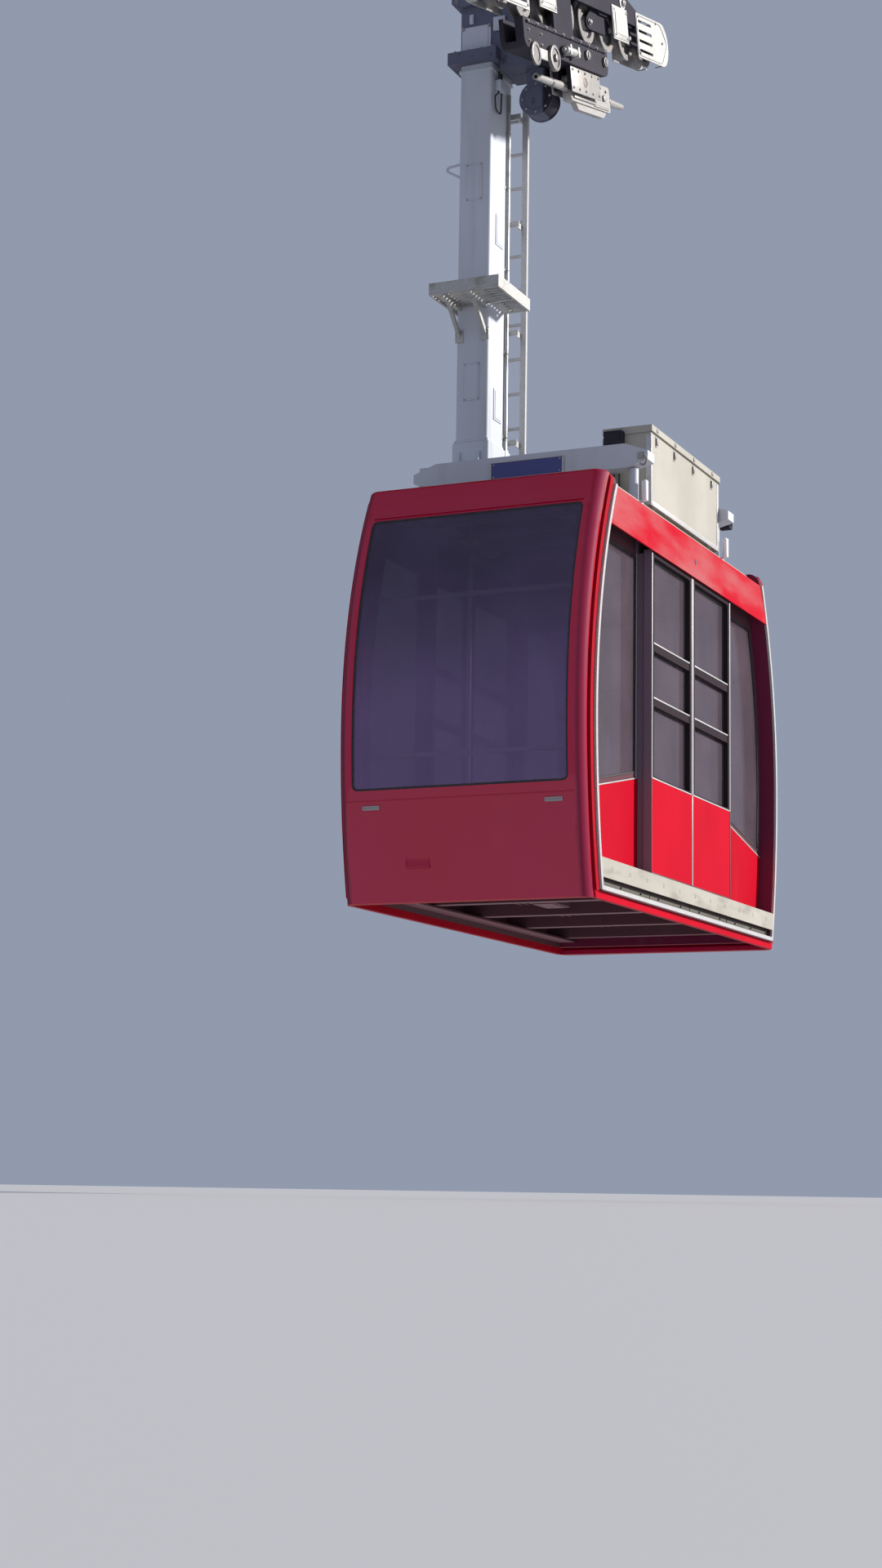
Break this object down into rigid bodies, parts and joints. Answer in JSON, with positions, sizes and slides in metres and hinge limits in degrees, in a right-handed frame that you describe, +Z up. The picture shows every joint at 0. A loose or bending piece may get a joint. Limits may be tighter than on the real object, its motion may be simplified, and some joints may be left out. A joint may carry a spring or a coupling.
{
  "type": "aerial cable car cabin with hanger and rope carriage",
  "caption": "Aerial cable car cabin with rounded glazed ends and sliding doors, hung by a side column from an articulated roller carriage that runs on a sloping rope.",
  "frame": {"origin": "a point on the axis of the track rope, above the middle of the cabin's length and 0.1 m beside its middle plane", "axes": "+X level, out of the front end wall, with the rope falling that way; +Y out of the left door side; +Z up"},
  "size_m": [3.82, 1.789, 6.9762],
  "materials": {
    "red_paint": "gloss",
    "door_paint": "gloss",
    "dark_paint": "satin",
    "tinted_glass": "polished",
    "light_paint": "satin",
    "grey_paint": "satin",
    "sign_paint": "satin",
    "aluminium_trim": "anodised",
    "galvanised": "galvanised",
    "carriage_paint": "satin",
    "roller_iron": "worn",
    "plain_steel": "machined",
    "stainless": "brushed",
    "floor_covering": "studded"
  },
  "bodies": {
    "carriage": {"carriage_frame": "carriage_paint", "track_brake": "carriage_paint", "main_rockers": "carriage_paint", "roller_rockers": "carriage_paint", "rope_guards": "galvanised", "rope_grip": "plain_steel", "pivot_pin": "plain_steel"},
    "roller_1": {"roller_1": "roller_iron"},
    "roller_2": {"roller_2": "roller_iron"},
    "roller_3": {"roller_3": "roller_iron"},
    "roller_4": {"roller_4": "roller_iron"},
    "roller_5": {"roller_5": "roller_iron"},
    "roller_6": {"roller_6": "roller_iron"},
    "roller_7": {"roller_7": "roller_iron"},
    "roller_8": {"roller_8": "roller_iron"},
    "door_front_left": {"door_front_left": "door_paint", "door_glass_front_left": "tinted_glass"},
    "door_front_right": {"door_front_right": "door_paint", "door_glass_front_right": "tinted_glass"},
    "door_rear_left": {"door_rear_left": "door_paint", "door_glass_rear_left": "tinted_glass"},
    "door_rear_right": {"door_rear_right": "door_paint", "door_glass_rear_right": "tinted_glass"},
    "box_lid": {"box_lid": "light_paint"},
    "roof_hatch": {"roof_hatch": "light_paint"},
    "cabin": {"end_shell_front": "red_paint", "end_shell_rear": "red_paint", "fascias": "red_paint", "lower_panels": "red_paint", "skirts": "red_paint", "end_frame_front": "dark_paint", "end_frame_rear": "dark_paint", "side_wall_left": "dark_paint", "side_wall_right": "dark_paint", "underframe": "dark_paint", "end_glass_front": "tinted_glass", "end_glass_rear": "tinted_glass", "side_windows": "tinted_glass", "sills": "light_paint", "equipment_box": "light_paint", "roof_panel": "light_paint", "roof_frame": "grey_paint", "roof_posts": "grey_paint", "hanger_column": "grey_paint", "sign_plate": "sign_paint", "end_trims": "aluminium_trim", "lower_rails": "aluminium_trim", "ladder": "aluminium_trim", "door_rails": "aluminium_trim", "platform": "galvanised", "hatch_hinges": "galvanised", "hanger_head": "carriage_paint", "swing_damper": "carriage_paint", "grab_poles": "stainless", "end_handrails": "stainless", "floor": "floor_covering"}
  },
  "joints": [
    {"name": "hanger_swing", "type": "hinge", "parent": "carriage", "child": "cabin", "pos_m": [0, 0, 0.4859], "axis": [0, 1, 0], "range_deg": [-15.3, 44.7]},
    {"name": "roller_1_spin", "type": "hinge", "parent": "carriage", "child": "roller_1", "pos_m": [-1.43386, 0, 0.53744], "axis": [0, 1, 0], "continuous": true},
    {"name": "roller_2_spin", "type": "hinge", "parent": "carriage", "child": "roller_2", "pos_m": [-1.04695, 0, 0.43594], "axis": [0, 1, 0], "continuous": true},
    {"name": "roller_3_spin", "type": "hinge", "parent": "carriage", "child": "roller_3", "pos_m": [-0.66004, 0, 0.33444], "axis": [0, 1, 0], "continuous": true},
    {"name": "roller_4_spin", "type": "hinge", "parent": "carriage", "child": "roller_4", "pos_m": [-0.27313, 0, 0.23293], "axis": [0, 1, 0], "continuous": true},
    {"name": "roller_5_spin", "type": "hinge", "parent": "carriage", "child": "roller_5", "pos_m": [0.11377, 0, 0.13143], "axis": [0, 1, 0], "continuous": true},
    {"name": "roller_6_spin", "type": "hinge", "parent": "carriage", "child": "roller_6", "pos_m": [0.50068, 0, 0.02993], "axis": [0, 1, 0], "continuous": true},
    {"name": "roller_7_spin", "type": "hinge", "parent": "carriage", "child": "roller_7", "pos_m": [0.88759, 0, -0.07157], "axis": [0, 1, 0], "continuous": true},
    {"name": "roller_8_spin", "type": "hinge", "parent": "carriage", "child": "roller_8", "pos_m": [1.27449, 0, -0.17308], "axis": [0, 1, 0], "continuous": true},
    {"name": "door_left_slide", "type": "slide", "parent": "cabin", "child": "door_front_left", "axis": [1, 0, 0], "range_m": [0, 0.72]},
    {"name": "door_left_rear_slide", "type": "slide", "parent": "cabin", "child": "door_rear_left", "axis": [-1, 0, 0], "range_m": [0, 0.72]},
    {"name": "door_right_slide", "type": "slide", "parent": "cabin", "child": "door_front_right", "axis": [1, 0, 0], "range_m": [0, 0.72]},
    {"name": "door_right_rear_slide", "type": "slide", "parent": "cabin", "child": "door_rear_right", "axis": [-1, 0, 0], "range_m": [0, 0.72]},
    {"name": "box_lid_hinge", "type": "hinge", "parent": "cabin", "child": "box_lid", "pos_m": [0, 0.506, -3.0317], "axis": [1, 0, 0], "range_deg": [0, 95]},
    {"name": "roof_hatch_hinge", "type": "hinge", "parent": "cabin", "child": "roof_hatch", "pos_m": [-0.674, 0.1, -3.5654], "axis": [0, -1, 0], "range_deg": [0, 85]}
  ],
  "couplings": [
    {"joint": "door_left_rear_slide", "follows": "door_left_slide", "ratio": 1},
    {"joint": "door_right_rear_slide", "follows": "door_right_slide", "ratio": 1}
  ]
}
